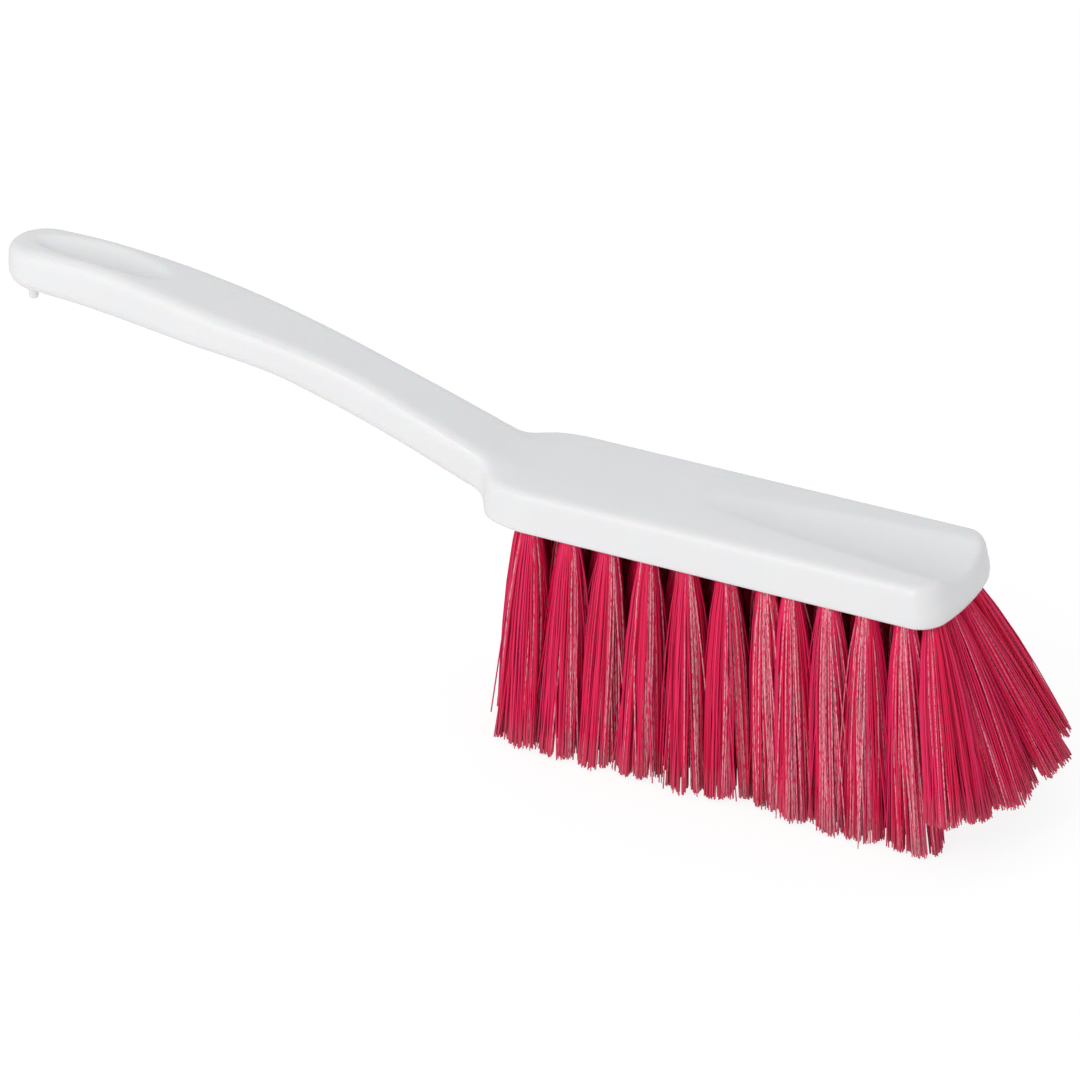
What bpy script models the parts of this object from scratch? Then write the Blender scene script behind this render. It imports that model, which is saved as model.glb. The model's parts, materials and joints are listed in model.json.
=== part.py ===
# Hand broom: a moulded block with its handle in one piece, and tufts of
# bristle set in blind holes in the block, each folded round a wire anchor.
# Sizes are in metres. X runs from the handle to the nose, Z is up.
# The tips of the bristles stand on z = 0.

import math
import random

import bmesh
import bpy
from mathutils import Matrix, Vector

MM = 0.001

# Block
BLOCK_LENGTH = 164.2 * MM
BLOCK_WIDTH = 48.4 * MM
BLOCK_HEIGHT = 14.7 * MM
TOP_CROWN = 0.6 * MM
BLOCK_TOP_RADIUS = 2.4 * MM
BLOCK_LOWER_RADIUS = 0.8 * MM
WALL_DRAFT = 1.0 * MM
WALL_CROWN = 0.2 * MM
NOSE_CORNER_RADIUS = 8.5 * MM
NOSE_BOW = 1.2 * MM
NOSE_SLOPE = 2.7 * MM
NOSE_BULGE = 1.3 * MM
NOSE_BULGE_HEIGHT = 4.7 * MM

# Shoulder, where the neck widens to the block: place ahead of the block's rear wall and
# share of the widening. It turns out sharply, then follows a long curve.
SHOULDER_PLAN = (
    (-5.0 * MM, 0.0),
    (-3.4 * MM, 0.01),
    (-2.0 * MM, 0.03),
    (-0.8 * MM, 0.08),
    (0.2 * MM, 0.18),
    (1.1 * MM, 0.33),
    (2.2 * MM, 0.48),
    (3.8 * MM, 0.62),
    (6.0 * MM, 0.74),
    (9.0 * MM, 0.84),
    (13.0 * MM, 0.935),
    (18.0 * MM, 1.0),
)
EDGE_DROP_START = -7.0 * MM
EDGE_DROP_LENGTH = 12.0 * MM
REAR_WALL_FILLET = 4.0 * MM
NECK_LANDING = 18.0 * MM

# Handle: share of its length, then width, thickness and height of its middle
HANDLE_LENGTH = 182.8 * MM
HANDLE_TOP_RADIUS = 4.0 * MM
HANDLE_LOWER_RADIUS = 5.0 * MM
HANDLE_SECTIONS = (
    (0.000, 27.1 * MM, 14.5 * MM, 9.85 * MM),
    (0.076, 26.3 * MM, 14.5 * MM, 14.55 * MM),
    (0.163, 25.1 * MM, 14.6 * MM, 19.95 * MM),
    (0.250, 23.9 * MM, 14.9 * MM, 24.95 * MM),
    (0.337, 24.5 * MM, 14.4 * MM, 29.65 * MM),
    (0.424, 26.3 * MM, 13.1 * MM, 33.75 * MM),
    (0.511, 28.5 * MM, 13.2 * MM, 36.65 * MM),
    (0.587, 28.9 * MM, 14.3 * MM, 38.55 * MM),
    (0.685, 27.7 * MM, 15.3 * MM, 40.95 * MM),
    (0.772, 25.9 * MM, 16.0 * MM, 42.65 * MM),
    (0.848, 25.5 * MM, 15.6 * MM, 43.65 * MM),
    (1.000, 25.5 * MM, 14.6 * MM, 43.85 * MM),
)

# Thumb scoop in the top of the nose: a tilted cylinder
SCOOP_LENGTH = 97.0 * MM
SCOOP_DEPTH = 4.0 * MM
SCOOP_RADIUS = 35.0 * MM

# Dish in the top of the handle's end: an ellipsoid with its middle DISH_SINK of its
# half height above the surface
DISH_LENGTH = 52.0 * MM
DISH_WIDTH = 15.0 * MM
DISH_DEPTH = 2.8 * MM
DISH_FROM_END = 8.0 * MM
DISH_SINK = 0.55

# Peg under the handle's end, on which the broom hangs
PEG_DIAMETER = 4.2 * MM
PEG_TIP_DIAMETER = 3.2 * MM
PEG_LENGTH = 7.2 * MM
PEG_TIP_ROUNDING = 0.7 * MM
PEG_ROOT_DEPTH = 4.0 * MM
PEG_FROM_END = 7.0 * MM

# Tufts
TUFT_DIAMETER = 5.0 * MM
TUFT_CLEARANCE = 0.3 * MM
TUFT_ROOT_DEPTH = 8.0 * MM
TUFT_STUB = 1.0 * MM
ANCHOR_LENGTH = 6.6 * MM
ANCHOR_THICKNESS = 0.5 * MM
ANCHOR_HEIGHT = 2.2 * MM
ANCHOR_FROM_TOP = 0.55 * MM
BRISTLE_DEPTH = 75.3 * MM
NOSE_BRISTLE_LENGTH = 65.4 * MM
FIRST_TUFT_FROM_WALL = 19.0 * MM
REAR_COLUMNS = 7
REAR_COLUMN_PITCH = 13.85 * MM
COLUMN_GROUP_GAP = 8.8 * MM
FRONT_COLUMN_PITCH = 13.0 * MM
ROW_EDGE_MARGIN = 6.2 * MM
INNER_ROW_OFFSET = 6.0 * MM
NOSE_ROW_MARGIN = 6.7 * MM
NOSE_TUFT_PITCH = 8.8 * MM
NOSE_TUFTS = 4
OUTER_ROW_LEAN = math.radians(5.0)
INNER_ROW_LEAN = math.radians(1.5)
CORNER_SIDE_LEAN = math.radians(6.5)
REAR_FORWARD_LEAN = math.radians(-1.5)
FRONT_FORWARD_LEAN = math.radians(9.0)
NOSE_LEAN = math.radians(28.0)
NOSE_FAN = math.radians(90.0)

# Strands
STRAND_RINGS = ((3, 0.38), (7, 0.9))
STRAND_SIDES = 3
STRAND_ROOT_RADIUS = 0.48 * MM
STRAND_TIP_RADIUS = 1.3 * MM
STRAND_ROOT_SPREAD = 1.95 * MM
STRAND_TIP_SPREAD = 5.5 * MM
STRAND_TIP_CLEARANCE = 2.0 * MM
NOSE_TIP_SPREAD = 7.5 * MM
STRAND_EMBED = 0.6 * MM
TIP_SHORTFALL_LEAST = 0.7 * MM
TIP_SHORTFALL_MOST = 3.5 * MM
TIP_FLAT_CUT = 0.5 * MM
BRISTLE_SEED = 7

# Steps in the rounded edges and curves
EDGE_STEPS = 4
EDGE_LIMIT = 0.45
NOSE_STEPS = 3
CORNER_STEPS = 5
HANDLE_STEPS = 15
END_STEPS = 7
HOLE_SIDES = 8
SCOOP_SIDES = 96
PEG_SIDES = 16
SMOOTH_ANGLE = math.radians(35.0)
CUT_MARGIN = 5.0 * MM

HALF_WIDTH = BLOCK_WIDTH / 2
CORNER_X = BLOCK_LENGTH - NOSE_BOW - NOSE_CORNER_RADIUS


def clear_scene():
    for item in list(bpy.data.objects):
        bpy.data.objects.remove(item, do_unlink=True)


def make_collection(name):
    collection = bpy.data.collections.new(name)
    bpy.context.scene.collection.children.link(collection)
    return collection


def make_material(name, colour, roughness):
    material = bpy.data.materials.new(name)
    material.use_nodes = True
    shader = material.node_tree.nodes["Principled BSDF"]
    shader.inputs["Base Color"].default_value = (*colour, 1.0)
    shader.inputs["Roughness"].default_value = roughness
    shader.inputs["Metallic"].default_value = 0.0
    return material


def smooth_step(share):
    share = min(max(share, 0.0), 1.0)
    return share * share * (3 - 2 * share)


def curve_through(points, where):
    """Height of a smooth curve that passes through (place, value) points."""
    if where <= points[0][0]:
        return points[0][1]
    if where >= points[-1][0]:
        return points[-1][1]
    slopes = []
    for index in range(len(points)):
        before = points[max(index - 1, 0)]
        after = points[min(index + 1, len(points) - 1)]
        slopes.append((after[1] - before[1]) / (after[0] - before[0]))
    for index in range(len(points) - 1):
        start, end = points[index], points[index + 1]
        if where <= end[0]:
            span = end[0] - start[0]
            share = (where - start[0]) / span
            return blend_curve(start[1], end[1], slopes[index] * span, slopes[index + 1] * span, share)


def blend_curve(start, end, start_rise, end_rise, share):
    """Cubic from start to end with the given rise at each end."""
    square, cube = share ** 2, share ** 3
    return (
        start * (2 * cube - 3 * square + 1)
        + end * (3 * square - 2 * cube)
        + start_rise * (cube - 2 * square + share)
        + end_rise * (cube - square)
    )


def handle_value(x, column):
    """Width, thickness or middle height of the handle at x, behind the block's rear wall."""
    return curve_through([(row[0], row[column]) for row in HANDLE_SECTIONS], -x / HANDLE_LENGTH)


def widening(x):
    """Share of the way from the neck's width to the block's."""
    return curve_through(SHOULDER_PLAN, x)


def half_width(x):
    neck = handle_value(x, 1) / 2
    return neck + (HALF_WIDTH - neck) * widening(x)


def handle_top(x):
    return handle_value(x, 3) + handle_value(x, 2) / 2


def handle_bottom(x):
    return handle_value(x, 3) - handle_value(x, 2) / 2


def top_height(x):
    """Height along the middle of the top: the handle's, run out over the block."""
    if x <= 0:
        return handle_top(x)
    if x >= NECK_LANDING:
        return BLOCK_HEIGHT
    step = 1.0 * MM
    slope = (handle_top(0) - handle_top(-step)) / step
    return blend_curve(handle_top(0), BLOCK_HEIGHT, slope * NECK_LANDING, 0.0, x / NECK_LANDING)


def rim_height(x):
    """Height of the top along its edge, which drops to the crowned block's at the shoulder."""
    drop = smooth_step((x - EDGE_DROP_START) / EDGE_DROP_LENGTH)
    return top_height(x) + (BLOCK_HEIGHT - TOP_CROWN - top_height(x)) * drop


def bottom_height(x):
    """Underside: the handle's, a hollow fillet at the block's rear wall, then the flat block."""
    if x >= 0:
        return 0.0
    share = max(0.0, 1 + x / REAR_WALL_FILLET)
    return handle_bottom(x) * math.sqrt(1 - share ** 2)


def half_outline():
    """Plan outline of the body on the +Y side, from the middle of the nose to the handle's end."""
    points = []
    flat = HALF_WIDTH - NOSE_CORNER_RADIUS
    for step in range(NOSE_STEPS):
        y = flat * step / NOSE_STEPS
        points.append((BLOCK_LENGTH - NOSE_BOW * (y / flat) ** 2, y))
    for step in range(CORNER_STEPS + 1):
        angle = math.pi / 2 * step / CORNER_STEPS
        points.append((
            CORNER_X + NOSE_CORNER_RADIUS * math.cos(angle),
            flat + NOSE_CORNER_RADIUS * math.sin(angle),
        ))
    end_radius = handle_value(-HANDLE_LENGTH, 1) / 2
    places = [NECK_LANDING]
    places += [x for x, share in SHOULDER_PLAN]
    places += [
        -REAR_WALL_FILLET * (1 - math.cos(math.pi / 2 * step / EDGE_STEPS))
        for step in range(EDGE_STEPS + 1)
    ]
    handle_start = EDGE_DROP_START
    handle_end = -(HANDLE_LENGTH - end_radius)
    places += [
        handle_start + (handle_end - handle_start) * step / HANDLE_STEPS
        for step in range(HANDLE_STEPS + 1)
    ]
    nearest = 0.25 * MM
    last = CORNER_X
    for x in sorted(places, reverse=True):
        if last - x > nearest:
            points.append((x, half_width(x)))
            last = x
    for step in range(1, END_STEPS + 1):
        angle = math.pi / 2 * step / END_STEPS
        points.append((
            handle_end - end_radius * math.sin(angle),
            end_radius * math.cos(angle) if step < END_STEPS else 0.0,
        ))
    return points


def outline_normals(points):
    """Outward directions of the outline in plan."""
    normals = []
    count = len(points)
    for index in range(count):
        ahead = points[(index + 1) % count]
        behind = points[index - 1]
        along = Vector((ahead[0] - behind[0], ahead[1] - behind[1])).normalized()
        normals.append((along.y, -along.x))
    return normals


def wall_profile(x, forward):
    """Inset and height of each step of the edge, from the top face round to the underside."""
    top, bottom = rim_height(x), bottom_height(x)
    limit = EDGE_LIMIT * (top - bottom)
    on_block = smooth_step((x + REAR_WALL_FILLET) / REAR_WALL_FILLET)
    upper = min(HANDLE_TOP_RADIUS + (BLOCK_TOP_RADIUS - HANDLE_TOP_RADIUS) * on_block, limit)
    lower = min(HANDLE_LOWER_RADIUS + (BLOCK_LOWER_RADIUS - HANDLE_LOWER_RADIUS) * on_block, limit)
    draft = WALL_DRAFT + (NOSE_SLOPE - WALL_DRAFT) * forward
    profile = []
    for step in range(EDGE_STEPS + 1):
        angle = math.pi / 2 * step / EDGE_STEPS
        profile.append((draft + upper * (1 - math.sin(angle)), top - upper * (1 - math.cos(angle))))
    middle = (top + bottom) / 2 + (NOSE_BULGE_HEIGHT - BLOCK_HEIGHT / 2) * on_block
    profile.append((WALL_CROWN * (1 - forward) - NOSE_BULGE * forward, middle))
    for step in range(EDGE_STEPS):
        angle = math.pi / 2 * step / (EDGE_STEPS - 1)
        inset = lower * (1 - math.cos(angle)) - NOSE_BULGE * forward
        profile.append((inset, bottom + lower * (1 - math.sin(angle))))
    return profile


def make_body(collection, material):
    half = half_outline()
    outline = half + [(x, -y) for x, y in reversed(half[1:-1])]
    normals = outline_normals(outline)
    mesh = bmesh.new()
    rings = []
    for (x, y), (out_x, out_y) in zip(outline, normals):
        forward = max(0.0, out_x) ** 2 if x > BLOCK_LENGTH / 2 else 0.0
        rings.append([
            mesh.verts.new((x - out_x * inset, y - out_y * inset, height))
            for inset, height in wall_profile(x, forward)
        ])
    count = len(rings)
    for index in range(count):
        here, there = rings[index], rings[(index + 1) % count]
        for step in range(len(here) - 1):
            mesh.faces.new((here[step], here[step + 1], there[step + 1], there[step]))
    ridge_y = handle_value(0, 1) / 2 - WALL_DRAFT - HANDLE_TOP_RADIUS
    ridges = []
    for x, y in half:
        sides = ()
        if EDGE_DROP_START < x <= CORNER_X:
            sides = [mesh.verts.new((x, sign * ridge_y, top_height(x))) for sign in (1, -1)]
        ridges.append(sides)
    for index in range(len(half) - 1):
        close_across(mesh, rings, index, -1, (), ())
        close_across(mesh, rings, index, 0, ridges[index], ridges[index + 1])
    bmesh.ops.recalc_face_normals(mesh, faces=mesh.faces)
    return finish_mesh(mesh, "block_and_handle", collection, material)


def close_across(mesh, rings, index, level, here, there):
    """Faces from one side of the body to the other, over the crown's two ridges where it has them."""
    count = len(rings)
    near = [rings[index][level], *here, rings[-index % count][level]]
    far = [rings[index + 1][level], *there, rings[(-index - 1) % count][level]]
    if here and there:
        for step in range(len(near) - 1):
            mesh.faces.new((near[step], near[step + 1], far[step + 1], far[step]))
    else:
        mesh.faces.new(list(dict.fromkeys(near + far[::-1])))


def finish_mesh(mesh, name, collection, material=None):
    data = bpy.data.meshes.new(name)
    mesh.to_mesh(data)
    mesh.free()
    data.shade_smooth()
    data.set_sharp_from_angle(angle=SMOOTH_ANGLE)
    item = bpy.data.objects.new(name, data)
    collection.objects.link(item)
    if material:
        data.materials.append(material)
    else:
        item.hide_render = True
        item.display_type = "WIRE"
    return item


def combine(item, other, operation):
    modifier = item.modifiers.new(other.name, "BOOLEAN")
    modifier.object = other
    modifier.operation = operation
    modifier.solver = "EXACT"


def make_scoop_cutter(collection):
    """Cylinder tilted so that it meets the top face at the scoop's point and is deepest at the nose."""
    tilt = math.atan2(SCOOP_DEPTH, SCOOP_LENGTH)
    axis_height = BLOCK_HEIGHT + SCOOP_RADIUS / math.cos(tilt) - SCOOP_DEPTH / 2
    bpy.ops.mesh.primitive_cylinder_add(
        vertices=SCOOP_SIDES, radius=SCOOP_RADIUS, depth=SCOOP_LENGTH + 3 * CUT_MARGIN,
        location=(BLOCK_LENGTH - SCOOP_LENGTH / 2, 0, axis_height),
        rotation=(0, math.pi / 2 + tilt, 0),
    )
    return as_cutter("thumb_scoop_cutter", collection)


def make_dish_cutter(collection):
    """Ellipsoid sunk in the top of the handle's end and tilted to its slope."""
    x = -(HANDLE_LENGTH - DISH_FROM_END - DISH_LENGTH / 2)
    front, rear = top_height(x + DISH_LENGTH / 2), top_height(x - DISH_LENGTH / 2)
    tilt = math.atan2(rear - front, DISH_LENGTH)
    height = DISH_DEPTH / (1 - DISH_SINK)
    widen = 1 / math.sqrt(1 - DISH_SINK ** 2)
    bpy.ops.mesh.primitive_uv_sphere_add(segments=28, ring_count=16, radius=0.5)
    cutter = as_cutter("end_dish_cutter", collection)
    cutter.location = (x, 0, (front + rear) / 2 + DISH_SINK * height)
    cutter.rotation_euler = (0, tilt, 0)
    cutter.scale = (DISH_LENGTH * widen, DISH_WIDTH * widen, 2 * height)
    return cutter


def make_peg(collection):
    """Tapered peg, sunk in the handle by its root."""
    x = -(HANDLE_LENGTH - PEG_FROM_END)
    length = PEG_LENGTH + PEG_ROOT_DEPTH
    bpy.ops.mesh.primitive_cone_add(
        vertices=PEG_SIDES, radius1=PEG_TIP_DIAMETER / 2, radius2=PEG_DIAMETER / 2, depth=length,
        location=(x, 0, bottom_height(x) + PEG_ROOT_DEPTH - length / 2),
    )
    peg = as_cutter("hanging_peg_solid", collection)
    bevel = peg.modifiers.new("rounded tip", "BEVEL")
    bevel.width = PEG_TIP_ROUNDING
    bevel.segments = 2
    bevel.limit_method = "ANGLE"
    return peg


def as_cutter(name, collection):
    item = bpy.context.object
    item.name = name
    for owner in list(item.users_collection):
        owner.objects.unlink(item)
    collection.objects.link(item)
    item.hide_render = True
    item.display_type = "WIRE"
    return item


def forward_lean(x):
    """Tufts fan forward a little more towards the nose."""
    share = (x - FIRST_TUFT_FROM_WALL) / (BLOCK_LENGTH - FIRST_TUFT_FROM_WALL)
    return REAR_FORWARD_LEAN + (FRONT_FORWARD_LEAN - REAR_FORWARD_LEAN) * share


def tuft_columns(last_x):
    """Places of the outer rows' tufts: a rear group, and a front group that starts close ahead of it."""
    columns = []
    x = FIRST_TUFT_FROM_WALL
    while x <= last_x:
        columns.append(x)
        if len(columns) < REAR_COLUMNS:
            x += REAR_COLUMN_PITCH
        elif len(columns) == REAR_COLUMNS:
            x += COLUMN_GROUP_GAP
        else:
            x += FRONT_COLUMN_PITCH
    return columns


def tip_spread(columns, number):
    """Tufts that stand close together fan out less, which keeps their strands apart."""
    x = columns[number]
    beside = columns[max(number - 1, 0):number] + columns[number + 1:number + 2]
    gap = min(abs(x - other) for other in beside)
    return min(STRAND_TIP_SPREAD, (gap - STRAND_TIP_CLEARANCE) / 2)


def tuft_plan():
    """Name, hole mouth, direction and tip spread of every tuft."""
    plan = []
    depth = BRISTLE_DEPTH
    outer_y = HALF_WIDTH - ROW_EDGE_MARGIN
    nose_x = BLOCK_LENGTH - NOSE_ROW_MARGIN
    last_x = nose_x - FRONT_COLUMN_PITCH / 2
    corner_x = last_x - 2 * FRONT_COLUMN_PITCH
    outer = tuft_columns(last_x)
    behind = [outer[0] - REAR_COLUMN_PITCH] + outer[:-1]
    inner = [(x + before) / 2 for x, before in zip(outer, behind)]
    for side, sign in (("near", -1), ("far", 1)):
        for number, x in enumerate(outer):
            at_corner = smooth_step((x - corner_x) / (last_x - corner_x))
            lean = OUTER_ROW_LEAN + (CORNER_SIDE_LEAN - OUTER_ROW_LEAN) * at_corner
            way = Vector((math.tan(forward_lean(x)), sign * math.tan(lean), -1))
            name = f"{side}_tuft_{number + 1:02d}"
            plan.append((name, (x, sign * outer_y), way, depth, tip_spread(outer, number)))
        for number, x in enumerate(inner):
            way = Vector((math.tan(forward_lean(x)), sign * math.tan(INNER_ROW_LEAN), -1))
            name = f"inner_{side}_tuft_{number + 1:02d}"
            plan.append((name, (x, sign * INNER_ROW_OFFSET), way, depth, tip_spread(inner, number)))
    for number in range(NOSE_TUFTS):
        place = number - (NOSE_TUFTS - 1) / 2
        turn = NOSE_FAN * place / (NOSE_TUFTS - 1)
        way = Vector((
            math.sin(NOSE_LEAN) * math.cos(turn),
            math.sin(NOSE_LEAN) * math.sin(turn),
            -math.cos(NOSE_LEAN),
        ))
        nose_depth = NOSE_BRISTLE_LENGTH * math.cos(NOSE_LEAN)
        spot = (nose_x, NOSE_TUFT_PITCH * place)
        plan.append((f"nose_tuft_{number + 1}", spot, way, nose_depth, NOSE_TIP_SPREAD))
    return plan


def add_root(mesh, way, clearance, stub):
    """Round root of a tuft with the anchor across its top, or with a clearance its hole."""
    turn = Vector((0, 0, -1)).rotation_difference(way).to_matrix().to_4x4()
    radius = TUFT_DIAMETER / 2 + clearance
    length = TUFT_ROOT_DEPTH + clearance + stub
    solid = bmesh.ops.create_cone(
        mesh, cap_ends=True, segments=HOLE_SIDES, radius1=radius, radius2=radius, depth=length)
    bmesh.ops.translate(mesh, verts=solid["verts"], vec=(0, 0, length / 2 - stub))
    bmesh.ops.transform(mesh, verts=solid["verts"], matrix=turn)


def anchor_mesh(way, clearance, reach):
    """Anchor strip, or with a clearance the groove that it cuts down the hole's wall."""
    mesh = bmesh.new()
    turn = Vector((0, 0, -1)).rotation_difference(way).to_matrix().to_4x4()
    solid = bmesh.ops.create_cube(mesh, size=1)
    height = ANCHOR_HEIGHT + clearance + reach
    top = TUFT_ROOT_DEPTH - ANCHOR_FROM_TOP + clearance
    bmesh.ops.scale(mesh, verts=solid["verts"], vec=(
        ANCHOR_LENGTH + 2 * clearance, ANCHOR_THICKNESS + 2 * clearance, height))
    bmesh.ops.translate(mesh, verts=solid["verts"], vec=(0, 0, top - height / 2))
    bmesh.ops.transform(mesh, verts=solid["verts"], matrix=turn)
    return mesh


def add_strand(mesh, root, tip, tip_radius, tilt, turn):
    """Tapered strand, square to the tuft at its root and level at its wider tip."""
    solid = bmesh.ops.create_cone(
        mesh, cap_ends=True, segments=STRAND_SIDES, radius1=tip_radius, radius2=STRAND_ROOT_RADIUS,
        depth=1, matrix=Matrix.Rotation(turn, 4, "Z"))
    for vertex in solid["verts"]:
        across = Vector((vertex.co.x, vertex.co.y, 0))
        vertex.co = tip + across if vertex.co.z < 0 else root + tilt @ across


def strand_mesh(way, depth, spread, dice):
    """Strands that fan out from the root without crossing, cut flat where they stand."""
    mesh = bmesh.new()
    down = way / -way.z
    tilt = Vector((0, 0, -1)).rotation_difference(way).to_matrix()
    start = way.normalized() * (TUFT_STUB - STRAND_EMBED)
    stands = depth >= BRISTLE_DEPTH
    longest = depth + TIP_FLAT_CUT if stands else depth
    tip_radius = STRAND_TIP_RADIUS * spread / STRAND_TIP_SPREAD
    for count, reach in STRAND_RINGS:
        first = dice.uniform(0, 2 * math.pi)
        for number in range(count):
            angle = first + 2 * math.pi * number / count
            off = Vector((reach * math.cos(angle), reach * math.sin(angle), 0))
            ragged = 0.0 if number % 2 == 0 else dice.uniform(TIP_SHORTFALL_LEAST, TIP_SHORTFALL_MOST)
            root = start + tilt @ off * STRAND_ROOT_SPREAD
            tip = down * (longest - ragged) + off * spread
            add_strand(mesh, root, tip, tip_radius, tilt, dice.uniform(0, 2 * math.pi))
    if stands:
        cut = bmesh.ops.bisect_plane(
            mesh, geom=mesh.verts[:] + mesh.edges[:] + mesh.faces[:],
            plane_co=(0, 0, -depth), plane_no=(0, 0, -1), clear_outer=True)
        edges = [part for part in cut["geom_cut"] if isinstance(part, bmesh.types.BMEdge)]
        bmesh.ops.holes_fill(mesh, edges=edges, sides=STRAND_SIDES)
    bmesh.ops.recalc_face_normals(mesh, faces=mesh.faces)
    return mesh


def make_tuft(name, spot, way, depth, spread, dice, parts, cutters, material):
    mesh = bmesh.new()
    add_root(mesh, way, 0.0, TUFT_STUB)
    tuft = finish_mesh(mesh, name, parts, material)
    anchor = finish_mesh(anchor_mesh(way, 0.0, 0.0), name + "_anchor", cutters)
    strands = finish_mesh(strand_mesh(way, depth, spread, dice), name + "_strands", cutters)
    for item in (tuft, anchor, strands):
        item.location = (*spot, 0)
    combine(tuft, anchor, "UNION")
    combine(tuft, strands, "UNION")
    return tuft


def make_hole_cutter(plan, collection):
    """All the blind holes in one cutter, and the anchors' grooves in another."""
    holes, grooves = bmesh.new(), bmesh.new()
    for name, spot, way, depth, spread in plan:
        hole = bmesh.new()
        add_root(hole, way, TUFT_CLEARANCE, CUT_MARGIN)
        append_mesh(holes, hole, spot)
        groove = anchor_mesh(way, TUFT_CLEARANCE, TUFT_ROOT_DEPTH + CUT_MARGIN)
        append_mesh(grooves, groove, spot)
    return [
        finish_mesh(holes, "tuft_hole_cutter", collection),
        finish_mesh(grooves, "anchor_groove_cutter", collection),
    ]


def append_mesh(target, source, spot):
    bmesh.ops.translate(source, verts=source.verts, vec=(*spot, 0))
    data = bpy.data.meshes.new("piece")
    source.to_mesh(data)
    source.free()
    target.from_mesh(data)
    bpy.data.meshes.remove(data)


def lowest_and_highest_x(parts):
    bpy.context.view_layer.update()
    graph = bpy.context.evaluated_depsgraph_get()
    reach = []
    for item in parts.objects:
        for corner in item.evaluated_get(graph).bound_box:
            reach.append(item.location.x + corner[0])
    return min(reach), max(reach)


def main():
    clear_scene()
    parts = make_collection("hand_broom")
    cutters = make_collection("cutters")
    plastic = make_material("white polypropylene", (0.83, 0.85, 0.86), 0.28)
    bristle = make_material("red polyester bristle", (0.72, 0.013, 0.075), 0.35)

    plan = tuft_plan()
    body = make_body(parts, plastic)
    combine(body, make_peg(cutters), "UNION")
    for cutter in [make_scoop_cutter(cutters), make_dish_cutter(cutters)] + make_hole_cutter(plan, cutters):
        combine(body, cutter, "DIFFERENCE")

    dice = random.Random(BRISTLE_SEED)
    for name, spot, way, depth, spread in plan:
        make_tuft(name, spot, way, depth, spread, dice, parts, cutters, bristle)

    # The frame stands the tips on z = 0 and centres the broom along X
    lowest, highest = lowest_and_highest_x(parts)
    frame = bpy.data.objects.new("broom_frame", None)
    bpy.context.scene.collection.objects.link(frame)
    frame.location = (-(lowest + highest) / 2, 0, BRISTLE_DEPTH)
    for item in list(parts.objects) + list(cutters.objects):
        item.parent = frame
    bpy.context.view_layer.update()


main()
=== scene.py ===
# Hand broom: a white moulded body and red bristle tufts, standing on the tips of its bristles.
# Lengths are in metres. +X points to the nose and +Z up.

import json
import math
import random

import bmesh
import bpy
from mathutils import Matrix, Vector

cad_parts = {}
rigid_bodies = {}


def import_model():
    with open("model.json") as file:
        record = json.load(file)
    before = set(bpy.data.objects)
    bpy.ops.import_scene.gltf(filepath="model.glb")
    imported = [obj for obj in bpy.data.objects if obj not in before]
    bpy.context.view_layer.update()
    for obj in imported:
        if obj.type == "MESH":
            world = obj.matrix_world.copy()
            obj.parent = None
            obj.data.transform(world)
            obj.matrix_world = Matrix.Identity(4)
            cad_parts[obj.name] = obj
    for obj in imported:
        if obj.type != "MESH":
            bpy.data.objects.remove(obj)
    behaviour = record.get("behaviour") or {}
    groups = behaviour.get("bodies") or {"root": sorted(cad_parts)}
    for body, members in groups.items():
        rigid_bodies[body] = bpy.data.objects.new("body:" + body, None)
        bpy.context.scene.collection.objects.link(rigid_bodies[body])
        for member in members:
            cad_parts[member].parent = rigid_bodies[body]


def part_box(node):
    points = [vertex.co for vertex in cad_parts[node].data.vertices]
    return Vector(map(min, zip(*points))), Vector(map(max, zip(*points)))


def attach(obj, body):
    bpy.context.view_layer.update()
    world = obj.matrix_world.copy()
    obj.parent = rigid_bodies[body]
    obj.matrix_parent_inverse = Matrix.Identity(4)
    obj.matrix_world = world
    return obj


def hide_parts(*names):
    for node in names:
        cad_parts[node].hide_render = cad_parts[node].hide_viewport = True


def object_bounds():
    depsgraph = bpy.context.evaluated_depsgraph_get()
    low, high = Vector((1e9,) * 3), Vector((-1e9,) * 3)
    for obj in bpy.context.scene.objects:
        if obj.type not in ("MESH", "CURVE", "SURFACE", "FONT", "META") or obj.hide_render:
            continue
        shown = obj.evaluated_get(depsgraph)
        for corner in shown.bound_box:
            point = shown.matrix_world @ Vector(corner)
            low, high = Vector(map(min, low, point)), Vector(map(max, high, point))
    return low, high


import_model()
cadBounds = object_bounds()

mm = 0.001


# Editing tools

def showOnly(piece):
    bpy.ops.object.select_all(action="DESELECT")
    piece.select_set(True)
    bpy.context.view_layer.objects.active = piece


def startEditing(piece):
    showOnly(piece)
    bpy.ops.object.mode_set(mode="EDIT")
    bpy.ops.mesh.select_all(action="DESELECT")


def stopEditing():
    bpy.ops.object.mode_set(mode="OBJECT")


def settle(piece):          # puts the place, turn and scale into the mesh
    showOnly(piece)
    bpy.ops.object.transform_apply(location=True, rotation=True, scale=True)


def pickFaces(test):        # the test gets a face's middle and normal
    bpy.ops.mesh.select_mode(type="FACE")
    bpy.ops.mesh.select_all(action="DESELECT")
    mesh = bmesh.from_edit_mesh(bpy.context.object.data)
    for face in mesh.faces:
        face.select_set(test(face.calc_center_median(), face.normal))
    bmesh.update_edit_mesh(bpy.context.object.data)


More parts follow.
